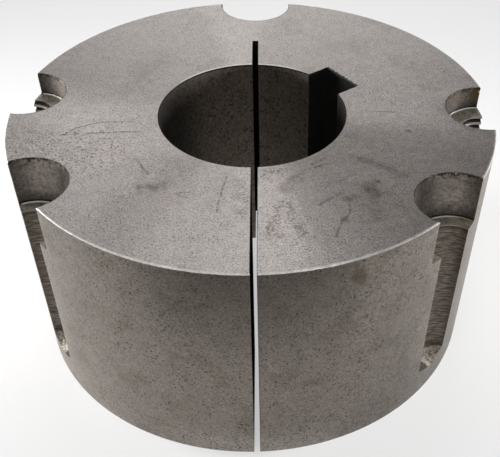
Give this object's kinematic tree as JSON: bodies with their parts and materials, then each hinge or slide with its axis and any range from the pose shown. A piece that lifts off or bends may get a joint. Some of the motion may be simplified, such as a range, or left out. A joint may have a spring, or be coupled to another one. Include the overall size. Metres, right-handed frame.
{
  "type": "taper lock bushing",
  "caption": "Split taper bushing with a keyed bore, stepped half-holes round the large rim for cap and jack screws, and a slit and a relief slot that let it close on a shaft.",
  "frame": {"origin": "on the bore axis, in the plane of the small end", "axes": "+Z along the bore towards the large end, -Y towards the slit"},
  "size_m": [0.1264, 0.1263, 0.0635],
  "materials": {
    "bushing_iron": "turned grey iron, fine grained, with dull bore and worn bright edges"
  },
  "bodies": {
    "root": {"taper_bushing": "bushing_iron"}
  },
  "joints": []
}
